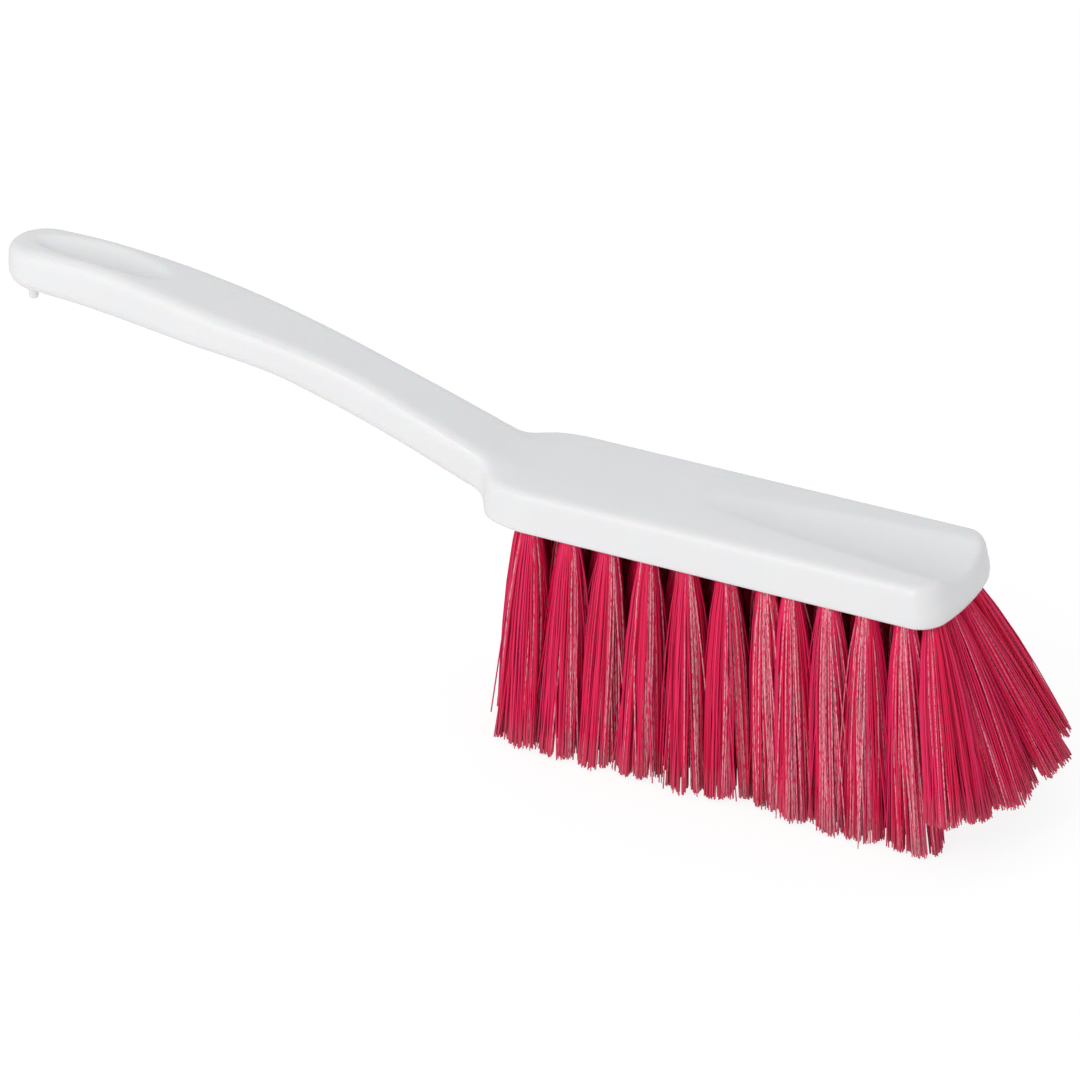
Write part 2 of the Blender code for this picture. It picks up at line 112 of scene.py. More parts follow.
def pickEdges(test):        # the test gets an edge's two ends and the normals of its faces
    bpy.ops.mesh.select_mode(type="EDGE")
    bpy.ops.mesh.select_all(action="DESELECT")
    mesh = bmesh.from_edit_mesh(bpy.context.object.data)
    for edge in mesh.edges:
        start, end = (vertex.co for vertex in edge.verts)
        edge.select_set(test(start, end, [face.normal for face in edge.link_faces]))
    bmesh.update_edit_mesh(bpy.context.object.data)


def pickPoints(test):       # the test gets a point's place
    bpy.ops.mesh.select_mode(type="VERT")
    bpy.ops.mesh.select_all(action="DESELECT")
    mesh = bmesh.from_edit_mesh(bpy.context.object.data)
    for vertex in mesh.verts:
        vertex.select_set(test(vertex.co))
    mesh.select_flush_mode()
    bmesh.update_edit_mesh(bpy.context.object.data)


def applyModifier(piece, kind, **settings):
    showOnly(piece)
    modifier = piece.modifiers.new(kind.lower(), kind)
    for name, value in settings.items():
        setattr(modifier, name, value)
    bpy.ops.object.modifier_apply(modifier=modifier.name)


def cutOrJoin(piece, tool, operation):
    applyModifier(piece, "BOOLEAN", object=tool, operation=operation, solver="MANIFOLD")
    bpy.data.objects.remove(tool, do_unlink=True)


# Materials

def fromHex(text):          # sRGB hex to linear colour
    channels = [int(text[place:place + 2], 16) / 255 for place in (1, 3, 5)]
    return (*[c / 12.92 if c <= 0.04045 else ((c + 0.055) / 1.055) ** 2.4 for c in channels], 1.0)


def addNode(tree, kind, settings=None, inputs=None):
    # inputs holds a value for a socket, or the output socket that feeds it
    node = tree.nodes.new(kind)
    for name, value in (settings or {}).items():
        setattr(node, name, value)
    for name, value in (inputs or {}).items():
        if isinstance(value, bpy.types.NodeSocket):
            tree.links.new(value, node.inputs[name])
        else:
            node.inputs[name].default_value = value
    return node


def newMaterial(name):
    material = bpy.data.materials.new(name)
    material.use_nodes = True
    material.node_tree.nodes.clear()
    return material, material.node_tree


# Polypropylene, injection moulded in a lightly stippled steel mould. It is a soft, slightly
# see-through white with a satin shine, and the stipple breaks up its highlights.
whitePlastic = {
    "colour": "#EFF1F3",
    "dull": "#E9EBED",           # faint clouding from handling
    "cloudSize": 40.0 * mm,
    "roughness": 0.24,
    "ior": 1.49,
    "entering": 0.25,            # share of the light that goes in
    "depth": 2.0 * mm,           # how far it goes
    "stipple": 0.8 * mm,         # the real one is about 0.2 mm, too fine to show
    "stippleHeight": 0.006 * mm,
}


def makeWhitePlastic():
    look = whitePlastic
    material, tree = newMaterial("moulded white polypropylene")
    place = addNode(tree, "ShaderNodeTexCoord").outputs["Object"]
    cloud = addNode(tree, "ShaderNodeTexNoise", inputs={
        "Vector": place, "Scale": 1 / look["cloudSize"], "Detail": 3.0})
    colour = addNode(tree, "ShaderNodeMix", {"data_type": "RGBA"}, {
        "Factor": cloud.outputs["Fac"]})
    colour.inputs[6].default_value = fromHex(look["colour"])
    colour.inputs[7].default_value = fromHex(look["dull"])
    stipple = addNode(tree, "ShaderNodeTexNoise", inputs={
        "Vector": place, "Scale": 1 / look["stipple"], "Detail": 2.0})
    bump = addNode(tree, "ShaderNodeBump", inputs={
        "Height": stipple.outputs["Fac"], "Distance": look["stippleHeight"], "Strength": 1.0})
    shader = addNode(tree, "ShaderNodeBsdfPrincipled", inputs={
        "Base Color": colour.outputs[2], "Roughness": look["roughness"], "IOR": look["ior"],
        "Subsurface Weight": look["entering"], "Subsurface Scale": look["depth"],
        "Normal": bump.outputs["Normal"]})
    addNode(tree, "ShaderNodeOutputMaterial", inputs={"Surface": shader.outputs["BSDF"]})
    return material


# Polyester filament, extruded and drawn. Each one is satin along its length, its red differs a
# little from the next one's, some carry a painted highlight in pale pink broken into speckles,
# and the tips are scuffed paler.
redFilament = {
    "deep": "#F80A4A",
    "red": "#FF2E72",
    # painted highlight: the pink-white of the filaments' specular streaks, put into their colour
    "paintedHighlight": "#FFBEC4",
    "scuffed": "#FA90A4",
    "highlightToneFrom": 0.7,             # the tone from which a filament is painted pale, as a highlight
    "highlightSpeckle": 0.34 * mm,        # across, on the painted highlight
    "highlightSpeckleStretch": 0.14,      # frequency of the speckles along them, as a share of that across
    "highlightSpeckleEdge": (0.38, 0.54),
    "wornFrom": 0.85,            # share of the length at which the scuffing starts
    "wornShare": 0.3,            # how strong it is at the tip
    "through": 0.08,             # share of the light that passes through
    "bundled": 0.5,              # how far each one is lit as a part of its tuft's surface
    "roughness": 0.35,
    "ior": 1.58,
    "specular": 0.25,
}


def makeRedFilament():
    look = redFilament
    material, tree = newMaterial("drawn red polyester")
    tone = addNode(tree, "ShaderNodeAttribute", {"attribute_name": "tone"})
    along = addNode(tree, "ShaderNodeAttribute", {"attribute_name": "along"})
    place = addNode(tree, "ShaderNodeTexCoord").outputs["Object"]
    stretched = addNode(tree, "ShaderNodeMapping", inputs={
        "Vector": place, "Scale": (1.0, 1.0, look["highlightSpeckleStretch"])})
    highlightSpeckle = addNode(tree, "ShaderNodeTexNoise", inputs={
        "Vector": stretched.outputs["Vector"], "Scale": 1 / look["highlightSpeckle"], "Detail": 1.0})
    low, high = look["highlightSpeckleEdge"]
    flicker = addNode(tree, "ShaderNodeMapRange", inputs={
        "Value": highlightSpeckle.outputs["Fac"], "From Min": low, "From Max": high})
    reds = addNode(tree, "ShaderNodeMapRange", inputs={
        "Value": tone.outputs["Fac"], "From Max": look["highlightToneFrom"]})
    # painted highlight: the mask of filaments painted pale, broken into speckles
    highlightAmount = addNode(tree, "ShaderNodeMapRange", inputs={
        "Value": tone.outputs["Fac"], "From Min": look["highlightToneFrom"]})
    paintedHighlight = addNode(tree, "ShaderNodeMath", {"operation": "MULTIPLY"}, {
        0: highlightAmount.outputs["Result"], 1: flicker.outputs["Result"]})
    red = addNode(tree, "ShaderNodeMix", {"data_type": "RGBA"}, {"Factor": reds.outputs["Result"]})
    red.inputs[6].default_value = fromHex(look["deep"])
    red.inputs[7].default_value = fromHex(look["red"])
    highlighted = addNode(tree, "ShaderNodeMix", {"data_type": "RGBA"}, {
        "Factor": paintedHighlight.outputs[0], 6: red.outputs[2]})
    highlighted.inputs[7].default_value = fromHex(look["paintedHighlight"])
    worn = addNode(tree, "ShaderNodeMapRange", inputs={
        "Value": along.outputs["Fac"], "From Min": look["wornFrom"], "To Max": look["wornShare"]})
    colour = addNode(tree, "ShaderNodeMix", {"data_type": "RGBA"}, {
        "Factor": worn.outputs["Result"]})
    tree.links.new(highlighted.outputs[2], colour.inputs[6])
    colour.inputs[7].default_value = fromHex(look["scuffed"])
    outward = addNode(tree, "ShaderNodeAttribute", {"attribute_name": "outward"})
    facing = addNode(tree, "ShaderNodeNewGeometry").outputs["Normal"]
    lean = addNode(tree, "ShaderNodeMix", {"data_type": "VECTOR"}, {"Factor": look["bundled"]})
    tree.links.new(facing, lean.inputs[4])
    tree.links.new(outward.outputs["Vector"], lean.inputs[5])
    normal = addNode(tree, "ShaderNodeVectorMath", {"operation": "NORMALIZE"}, {0: lean.outputs[1]})
    shader = addNode(tree, "ShaderNodeBsdfPrincipled", inputs={
        "Base Color": colour.outputs[2], "Roughness": look["roughness"], "IOR": look["ior"],
        "Specular IOR Level": look["specular"], "Normal": normal.outputs[0]})
    glow = addNode(tree, "ShaderNodeBsdfTranslucent", inputs={"Color": colour.outputs[2]})
    both = addNode(tree, "ShaderNodeMixShader", inputs={
        "Fac": look["through"], 1: shader.outputs["BSDF"], 2: glow.outputs["BSDF"]})
    addNode(tree, "ShaderNodeOutputMaterial", inputs={"Surface": both.outputs["Shader"]})
    return material


# Body: block, neck and handle in one moulding. It is modelled straight and flat, then a lattice
# lifts the handle, runs the neck out over the block and slopes the walls.

broomBody = {
    "blockLength": 164.2 * mm,
    "blockWidth": 48.4 * mm,
    "blockHeight": 14.7 * mm,
    "crown": 0.7 * mm,           # how far the top falls from its middle to its edge
    "blockTopEdge": 2.4 * mm,
    "blockLowerEdge": 0.8 * mm,
    "wallDraft": 1.0 * mm,
    "noseCorner": 8.5 * mm,
    "noseBow": 1.2 * mm,
    "noseCornerSegments": 12,
    "noseBulge": (0.3 * mm, 0.9 * mm, -0.9 * mm, -2.7 * mm),     # at even steps up the nose
    # it fades from this far off the middle, over the next length, by this share
    "noseUpright": (4.0 * mm, 14.0 * mm, 0.5),
    "noseReach": 14.0 * mm,
    "shoulderPlan": (        # place ahead of the block's rear wall, share of the widening
        (-5.0 * mm, 0.0),
        (-3.4 * mm, 0.01),
        (-2.0 * mm, 0.03),
        (-0.8 * mm, 0.08),
        (0.2 * mm, 0.18),
        (1.1 * mm, 0.33),
        (2.2 * mm, 0.48),
        (3.8 * mm, 0.62),
        (6.0 * mm, 0.74),
        (9.0 * mm, 0.84),
        (13.0 * mm, 0.935),
        (18.0 * mm, 1.0),
    ),
    "neckDrop": (-4.0 * mm, 8.0 * mm),       # where the neck's sides start to fall, and how long
    "ridge": (7.0 * mm, 19.0 * mm),          # half widths between which they fall
    "rearFillet": 4.0 * mm,
    "neckLanding": 18.0 * mm,
    "handleLength": 182.8 * mm,
    "handleTopEdge": 4.0 * mm,
    "handleLowerEdge": 5.0 * mm,
    "rimSegments": 8,
    "endRoundness": 0.97,        # share of the handle's half width that rounds its end
    "endSegments": 14,
    "handleSections": (      # share of the handle, width, thickness, height of its middle
        (0.000, 27.1 * mm, 14.5 * mm, 9.85 * mm),
        (0.076, 26.3 * mm, 14.5 * mm, 14.55 * mm),
        (0.163, 25.1 * mm, 14.6 * mm, 19.95 * mm),
        (0.250, 23.9 * mm, 14.9 * mm, 24.95 * mm),
        (0.337, 24.5 * mm, 14.4 * mm, 29.65 * mm),
        (0.424, 26.3 * mm, 13.1 * mm, 33.75 * mm),
        (0.511, 28.5 * mm, 13.2 * mm, 36.65 * mm),
        (0.587, 28.9 * mm, 14.3 * mm, 38.55 * mm),
        (0.685, 27.7 * mm, 15.3 * mm, 40.95 * mm),
        (0.772, 25.9 * mm, 16.0 * mm, 42.65 * mm),
        (0.848, 25.5 * mm, 15.6 * mm, 43.65 * mm),
        (1.000, 25.5 * mm, 13.8 * mm, 44.25 * mm),
    ),
    "noseStart": 12.0 * mm,      # length of the first piece, before the blank is drawn out
    "blockStep": 6.0 * mm,
    "neckStep": 1.25 * mm,
    "handleStep": 6.0 * mm,
    "voxel": 0.68 * mm,
    "upperFrom": 0.4,            # share of the blank's height above which cut edges are softened
    "softening": 8,              # rounds of smoothing
    "skinSmoothing": 3,
    "shoulderSoftening": 24,
    "shoulderReach": 8.0 * mm,
    "shoulderFloor": 2.0 * mm,
    "creaseAngle": 55.0,         # degrees
    "bends": (               # start and end from the rear wall, cage points along it
        (-190.0 * mm, -12.0 * mm, 64),
        (-12.0 * mm, 24.0 * mm, 64),
        (24.0 * mm, 170.0 * mm, 32),
    ),
    "cagePoints": (25, 4),
}

bodyLow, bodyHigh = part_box("block_and_handle")
handleEndX = bodyLow.x
wallX = handleEndX + broomBody["handleLength"]
noseX = wallX + broomBody["blockLength"]
undersideZ = bodyLow.z


def smoothStep(share):
    share = min(max(share, 0.0), 1.0)
    return share * share * (3 - 2 * share)


def blendCurve(start, end, startRise, endRise, share):
    square, cube = share ** 2, share ** 3
    return (
        start * (2 * cube - 3 * square + 1) + end * (3 * square - 2 * cube)
        + startRise * (cube - 2 * square + share) + endRise * (cube - square)
    )


def curveThrough(points, where):     # height of a smooth curve through (place, height) points
    where = min(max(where, points[0][0]), points[-1][0])
    place = max(index for index, point in enumerate(points[:-1]) if point[0] <= where)
    slopes = []
    for index in (place, place + 1):
        before, after = points[max(index - 1, 0)], points[min(index + 1, len(points) - 1)]
        slopes.append((after[1] - before[1]) / (after[0] - before[0]))
    start, end = points[place], points[place + 1]
    span = end[0] - start[0]
    share = (where - start[0]) / span
    return blendCurve(start[1], end[1], slopes[0] * span, slopes[1] * span, share)


def handleValue(back, column):      # back is the distance behind the block's rear wall
    rows = [(row[0], row[column]) for row in broomBody["handleSections"]]
    return curveThrough(rows, back / broomBody["handleLength"])


def halfWidth(x):
    neck = handleValue(wallX - x, 1) / 2
    widening = curveThrough(broomBody["shoulderPlan"], x - wallX)
    return neck + (broomBody["blockWidth"] / 2 - neck) * widening


def middleTop(x):           # along the middle of the top
    back = wallX - x
    landing, height = broomBody["neckLanding"], broomBody["blockHeight"]
    if back >= 0:
        return handleValue(back, 3) + handleValue(back, 2) / 2
    if -back >= landing:
        return height
    start = middleTop(wallX)
    slope = (start - middleTop(wallX - mm)) / mm
    return blendCurve(start, height, slope * landing, 0.0, -back / landing)


def topHeight(x, y):        # the neck falls to the block towards its edge, and the block is crowned
    middle = middleTop(x)
    start, length = broomBody["neckDrop"]
    ridge, rim = broomBody["ridge"]
    drop = smoothStep((x - wallX - start) / length)
    fall = (middle - broomBody["blockHeight"]) * smoothStep((abs(y) - ridge) / (rim - ridge))
    outward = min(max((abs(y) - ridge) / (halfWidth(x) - ridge), 0.0), 1.0)
    return middle - drop * (fall + broomBody["crown"] * outward ** 2)


def bottomHeight(x):
    back = wallX - x
    if back <= 0:
        return 0.0
    share = max(0.0, 1 - back / broomBody["rearFillet"])
    return (handleValue(back, 3) - handleValue(back, 2) / 2) * math.sqrt(1 - share ** 2)


def extrudeTo(x, lastX):
    bpy.ops.mesh.extrude_region_move(TRANSFORM_OT_translate={"value": (x - lastX, 0, 0)})
    bpy.ops.transform.resize(
        value=(1, halfWidth(x) / halfWidth(lastX), 1), center_override=(x, 0, 0))


def makeBlank():
    size = broomBody
    height = size["blockHeight"]
    bpy.ops.mesh.primitive_cube_add(
        size=1, location=(noseX - size["noseStart"] / 2, 0, height / 2),
        scale=(size["noseStart"], size["blockWidth"], height))
    blank = bpy.context.object
    blank.name = "broom_body"
    settle(blank)
    startEditing(blank)
    pickFaces(lambda middle, normal: normal.x < -0.9)
    x = noseX - size["noseStart"]
    endHalfWidth = handleValue(size["handleLength"], 1) / 2
    for stopX, step in (
            (wallX + size["shoulderPlan"][-1][0], size["blockStep"]),
            (wallX + size["shoulderPlan"][0][0], size["neckStep"]),
            (handleEndX + endHalfWidth, size["handleStep"])):
        count = round((x - stopX) / step)
        stride = (x - stopX) / count
        for number in range(count):
            extrudeTo(x - stride, x)
            x -= stride
    extrudeTo(handleEndX, x)

    def upright(start, end):
        return abs(start.z - end.z) > height / 2

    pickEdges(lambda start, end, normals: upright(start, end) and start.x > noseX - mm)
    bpy.ops.mesh.bevel(offset=size["noseCorner"], segments=size["noseCornerSegments"])
    pickEdges(lambda start, end, normals: upright(start, end) and start.x < handleEndX + mm)
    bpy.ops.mesh.bevel(offset=endHalfWidth * size["endRoundness"], segments=size["endSegments"])

    def rim(normals, up):   # where the top, or with up -1 the underside, meets a wall
        if len(normals) != 2 or max(normal.z * up for normal in normals) <= 0.9:
            return False
        return min(abs(normal.z) for normal in normals) <= 0.9

    mesh = bmesh.from_edit_mesh(blank.data)
    weights = mesh.edges.layers.float.new("bevel_weight_edge")
    widest = size["handleLowerEdge"]
    for edge in mesh.edges:         # the edges are tighter on the block than on the handle
        middle = (edge.verts[0].co.x + edge.verts[1].co.x) / 2
        onBlock = smoothStep((middle - wallX) / size["rearFillet"] + 1)
        for up, onHandle, there in (
                (1, "handleTopEdge", "blockTopEdge"), (-1, "handleLowerEdge", "blockLowerEdge")):
            if rim([face.normal for face in edge.link_faces], up):
                edge[weights] = (size[onHandle] + (size[there] - size[onHandle]) * onBlock) / widest
    bmesh.update_edit_mesh(blank.data)
    stopEditing()
    applyModifier(
        blank, "BEVEL", limit_method="WEIGHT", width=widest, segments=size["rimSegments"])
    return blank


# Thumb scoop: a tilted cylinder that meets the top at the scoop's point and is deepest at the nose
thumbScoop = {
    "length": 97.0 * mm,
    "depth": 4.0 * mm,
    "radius": 35.0 * mm,
    "overrun": 15.0 * mm,        # how much longer the cylinder is than the scoop
    "softWidth": 19.0 * mm,      # half of the strip that is softened round it
    "softening": 10,
}


def cutScoop(blank):
    size = thumbScoop
    tilt = math.atan2(size["depth"], size["length"])
    axisZ = broomBody["blockHeight"] + size["radius"] / math.cos(tilt) - size["depth"] / 2
    bpy.ops.mesh.primitive_cylinder_add(
        vertices=256, radius=size["radius"], depth=size["length"] + size["overrun"],
        location=(noseX - size["length"] / 2, 0, axisZ), rotation=(0, math.pi / 2 + tilt, 0))
    cutOrJoin(blank, bpy.context.object, "DIFFERENCE")


# Dish in the top of the handle's end: a stretched ball, sunk in the surface
endDish = {
    "length": 52.0 * mm,
    "width": 15.0 * mm,
    "depth": 3.3 * mm,
    "fromEnd": 8.0 * mm,
    "sink": 0.4,             # share of the ball's half height that stays above the surface
    "softWidth": 9.5 * mm,
    "softening": 2,
}


def cutDish(blank):
    size = endDish
    halfHeight = size["depth"] / (1 - size["sink"])
    widen = 1 / math.sqrt(1 - size["sink"] ** 2)
    bpy.ops.mesh.primitive_uv_sphere_add(
        segments=96, ring_count=48, radius=0.5,
        location=(handleEndX + size["fromEnd"] + size["length"] / 2, 0,
                  broomBody["blockHeight"] + size["sink"] * halfHeight),
        scale=(size["length"] * widen, size["width"] * widen, 2 * halfHeight))
    cutOrJoin(blank, bpy.context.object, "DIFFERENCE")


def softenPart(blank, rounds, test):
    startEditing(blank)
    pickPoints(test)
    bpy.ops.object.vertex_group_add()
    bpy.ops.object.vertex_group_assign()
    stopEditing()
    applyModifier(
        blank, "SMOOTH", factor=0.5, iterations=rounds, vertex_group=blank.vertex_groups[0].name)
    blank.vertex_groups.clear()


def softenBlank(blank):     # an even skin, with the cut edges softened as in a mould
    upper = broomBody["blockHeight"] * broomBody["upperFrom"]
    margin = 5 * mm
    scoopX = noseX - thumbScoop["length"] - margin
    dishX = handleEndX + endDish["fromEnd"] + endDish["length"] + margin
    applyModifier(blank, "REMESH", mode="VOXEL", voxel_size=broomBody["voxel"])
    softenPart(blank, broomBody["softening"], lambda place: place.z > upper)
    softenPart(blank, thumbScoop["softening"], lambda place: (
        place.z > upper and place.x > scoopX and abs(place.y) < thumbScoop["softWidth"]))
    softenPart(blank, endDish["softening"], lambda place: (
        place.z > upper and place.x < dishX and abs(place.y) < endDish["softWidth"]))


def bentPlace(x, y, z):     # where a point of the flat blank goes
    size = broomBody
    up = z / size["blockHeight"]
    flat = size["blockWidth"] / 2 - size["noseCorner"]
    forward = smoothStep((x - noseX) / size["noseReach"] + 1)
    reach = size["noseBulge"][round(up * (len(size["noseBulge"]) - 1))]
    start, span, share = size["noseUpright"]
    reach *= 1 - share * smoothStep((abs(y) - start) / span)
    reach -= size["noseBow"] * (y / flat) ** 2
    return Vector((
        x + reach * forward,
        y * (1 - size["wallDraft"] * up / halfWidth(x)),
        undersideZ + bottomHeight(x) + (topHeight(x, y) - bottomHeight(x)) * up,
    ))


def bendPart(blank, startX, endX, count):
    height = broomBody["blockHeight"]
    step = (endX - startX) / (count - 5)     # the cage goes two steps past each end
    middle = Vector(((startX + endX) / 2, 0, height / 2))
    span = Vector((step * (count - 1), broomBody["blockWidth"] + 4 * mm, height))
    startEditing(blank)
    pickPoints(lambda place: startX <= place.x < endX)
    bpy.ops.object.vertex_group_add()
    bpy.ops.object.vertex_group_assign()
    stopEditing()
    bpy.ops.object.add(type="LATTICE", location=middle)
    cage = bpy.context.object
    cage.scale = span
    cage.data.points_u = count
    cage.data.points_v, cage.data.points_w = broomBody["cagePoints"]
    for axis in "uvw":
        setattr(cage.data, "interpolation_type_" + axis, "KEY_CATMULL_ROM")
    for point in cage.data.points:
        moved = bentPlace(*(middle + point.co * span)) - middle
        point.co_deform = [moved[axis] / span[axis] for axis in range(3)]
    applyModifier(blank, "LATTICE", object=cage, vertex_group=blank.vertex_groups[0].name)
    blank.vertex_groups.clear()
    bpy.data.objects.remove(cage, do_unlink=True)


def bendBlank(blank):       # the nose goes last, as its points leave the flat blank's box
    for start, end, count in broomBody["bends"]:
        bendPart(blank, wallX + start, wallX + end, count)
    applyModifier(blank, "REMESH", mode="VOXEL", voxel_size=broomBody["voxel"])
    applyModifier(blank, "SMOOTH", factor=0.5, iterations=broomBody["skinSmoothing"])
    softenPart(blank, broomBody["shoulderSoftening"], lambda place: (
        abs(place.x - wallX) < broomBody["shoulderReach"]
        and place.z > undersideZ + broomBody["shoulderFloor"]))


# Peg under the handle's end, on which the broom hangs
hangingPeg = {
    "rootDiameter": 4.2 * mm,
    "tipDiameter": 3.2 * mm,
    "length": 7.9 * mm,
    "rootDepth": 4.0 * mm,
    "fromEnd": 7.0 * mm,
    "tipRounding": 0.8 * mm,
}


def addPeg(body):
    size = hangingPeg
    x = handleEndX + size["fromEnd"]
    full = size["length"] + size["rootDepth"]
    rootZ = undersideZ + bottomHeight(x)
    bpy.ops.mesh.primitive_cone_add(
        vertices=48, radius1=size["tipDiameter"] / 2, radius2=size["rootDiameter"] / 2, depth=full,
        location=(x, 0, rootZ + size["rootDepth"] - full / 2))
    peg = bpy.context.object
    settle(peg)
    startEditing(peg)
    tipZ = rootZ - size["length"]
    pickEdges(lambda start, end, normals: max(start.z, end.z) < tipZ + 0.1 * mm)
    bpy.ops.mesh.bevel(offset=size["tipRounding"], segments=6)
    stopEditing()
    cutOrJoin(body, peg, "UNION")


# Tufts: bundles of filament folded into blind holes, which fan out towards their tips

tuftRows = {
    "bristleDepth": 75.3 * mm,
    "noseLength": 65.4 * mm,
    "firstFromWall": 19.0 * mm,
    "rearColumns": 7,
    "rearPitch": 13.85 * mm,
    "groupGap": 8.8 * mm,
    "frontPitch": 13.0 * mm,
    "edgeMargin": 6.2 * mm,
    "innerOffset": 6.0 * mm,
    "noseMargin": 6.7 * mm,
    "nosePitch": 8.8 * mm,
    "noseTufts": 4,
    "outerLean": 5.0,           # degrees
    "innerLean": 1.5,
    "cornerLean": 6.5,
    "rearLean": -1.5,
    "frontLean": 9.0,
    "noseLean": 28.0,
    "noseFan": 90.0,
}


def tuftColumns(firstX, lastX):      # a rear group, and a front group that starts close ahead of it
    size = tuftRows
    columns = []
    x = firstX
    while x <= lastX:
        columns.append(x)
        if len(columns) < size["rearColumns"]:
            x += size["rearPitch"]
        elif len(columns) == size["rearColumns"]:
            x += size["groupGap"]
        else:
            x += size["frontPitch"]
    return columns


def planTufts():            # node, hole mouth, direction of unit drop, depth, whether at the nose
    size = tuftRows
    plan = []
    outerY = broomBody["blockWidth"] / 2 - size["edgeMargin"]
    rowNoseX = noseX - size["noseMargin"]
    firstX = wallX + size["firstFromWall"]
    lastX = rowNoseX - size["frontPitch"] / 2
    outer = tuftColumns(firstX, lastX)
    behind = [firstX - size["rearPitch"]] + outer[:-1]
    inner = [(x + before) / 2 for x, before in zip(outer, behind)]

    def sideways(x, sign, lean):
        share = (x - firstX) / (noseX - firstX)
        forward = size["rearLean"] + (size["frontLean"] - size["rearLean"]) * share
        return Vector((math.tan(math.radians(forward)), sign * math.tan(math.radians(lean)), -1))

    for side, sign in (("near", -1), ("far", 1)):
        for number, x in enumerate(outer):
            corner = smoothStep((x - lastX) / (2 * size["frontPitch"]) + 1)
            lean = size["outerLean"] + (size["cornerLean"] - size["outerLean"]) * corner
            plan.append((
                f"{side}_tuft_{number + 1:02d}", Vector((x, sign * outerY, undersideZ)),
                sideways(x, sign, lean), size["bristleDepth"], False))
        for number, x in enumerate(inner):
            plan.append((
                f"inner_{side}_tuft_{number + 1:02d}",
                Vector((x, sign * size["innerOffset"], undersideZ)),
                sideways(x, sign, size["innerLean"]), size["bristleDepth"], False))
    lean = math.radians(size["noseLean"])
    for number in range(size["noseTufts"]):
        place = number - (size["noseTufts"] - 1) / 2
        turn = math.radians(size["noseFan"]) * place / (size["noseTufts"] - 1)
        way = Vector((math.tan(lean) * math.cos(turn), math.tan(lean) * math.sin(turn), -1))
        mouth = Vector((rowNoseX, size["nosePitch"] * place, undersideZ))
        depth = size["noseLength"] * math.cos(lean)
        plan.append((f"nose_tuft_{number + 1}", mouth, way, depth, True))
    return plan


tuftHole = {
    "diameter": 5.6 * mm,
    "depth": 8.0 * mm,
    "sides": 28,
}


def drillHoles(body, plan):
    drills = []
    for node, mouth, way, depth, atNose in plan:
        bpy.ops.mesh.primitive_cylinder_add(
            vertices=tuftHole["sides"], radius=tuftHole["diameter"] / 2, depth=2 * tuftHole["depth"],
            location=mouth, rotation=Vector((0, 0, -1)).rotation_difference(way).to_euler())
        drills.append(bpy.context.object)
    for drill in drills:
        drill.select_set(True)
    bpy.ops.object.join()
    cutOrJoin(body, bpy.context.object, "DIFFERENCE")


tuft = {
    "filaments": 430,
    "filamentDiameter": 0.5 * mm,    # about 0.3 in a real one, thicker here so that fewer fill it
    "filamentSegments": 5,
    "tipTaper": 0.9,
    "outerShare": 0.37,          # 0.5 spreads them evenly, and less puts more of them outside
    "rootRadius": 2.6 * mm,
    "tipRadius": 8.8 * mm,
    "noseTipRadius": 6.8 * mm,
    "noseTipWidth": 13.0 * mm,   # half, round the fan
    "ownSpread": (0.9, 1.12),    # each tuft differs a little
    "ownLean": 1.2 * mm,
    "rootInHole": 2.0 * mm,
    "bows": (-0.6 * mm, 0.4 * mm, 1.1 * mm, 1.9 * mm),      # outward bulge of the templates
    "bowSkew": (1.4, 0.8),       # how much stronger it is near the root, and how fast it falls
    "turnScatter": 0.5,          # radians that the bulge turns from straight outward
    "clumps": 10,
    "clumpRadius": 0.9,          # share of the tuft's radius over which their middles are spread
    "clumping": 0.4,
    "noseClumping": 0.2,
    "tipScatter": 0.6 * mm,
    "strays": 0.01,
    "strayScatter": 5.0 * mm,
    # share of the stray filaments painted pale as highlight
    "strayHighlight": 0.5,
    "crossing": 0.12,            # share that crosses to the next tufts along the row
    "crossingReach": 6.0 * mm,
    "clumpPoint": 3.0 * mm,      # how much shorter the filaments are towards a clump's outside
    "clumpPointVaries": (0.85, 1.0),
    "ragged": 1.8 * mm,
    "boxMargin": 0.3 * mm,       # how far inside the object's box the tips stay
    "redTones": (0.0, 0.7),
    # tones of the filaments painted pale as highlight
    "highlightTones": (0.8, 1.0),
    # random turn, in radians, of each tuft's painted highlight
    "sheenTurn": 0.25,
    # painted highlight: distance from the block's rear wall, share of the filaments painted pale as
    # highlight, and in radians round the tuft how far towards the nose its middle is and how wide it
    # is
    "paintedSheen": (
        (0.0, 0.55, 0.95, 0.3),
        (60.0 * mm, 0.6, 0.9, 0.35),
        (100.0 * mm, 0.75, 0.5, 0.7),
        (150.0 * mm, 0.7, 0.35, 0.9),
        (156.0 * mm, 0.06, 0.35, 0.9),
    ),
    "looseHighlight": 0.04,           # share painted pale as highlight anywhere round the tuft
    "seed": 11,
}


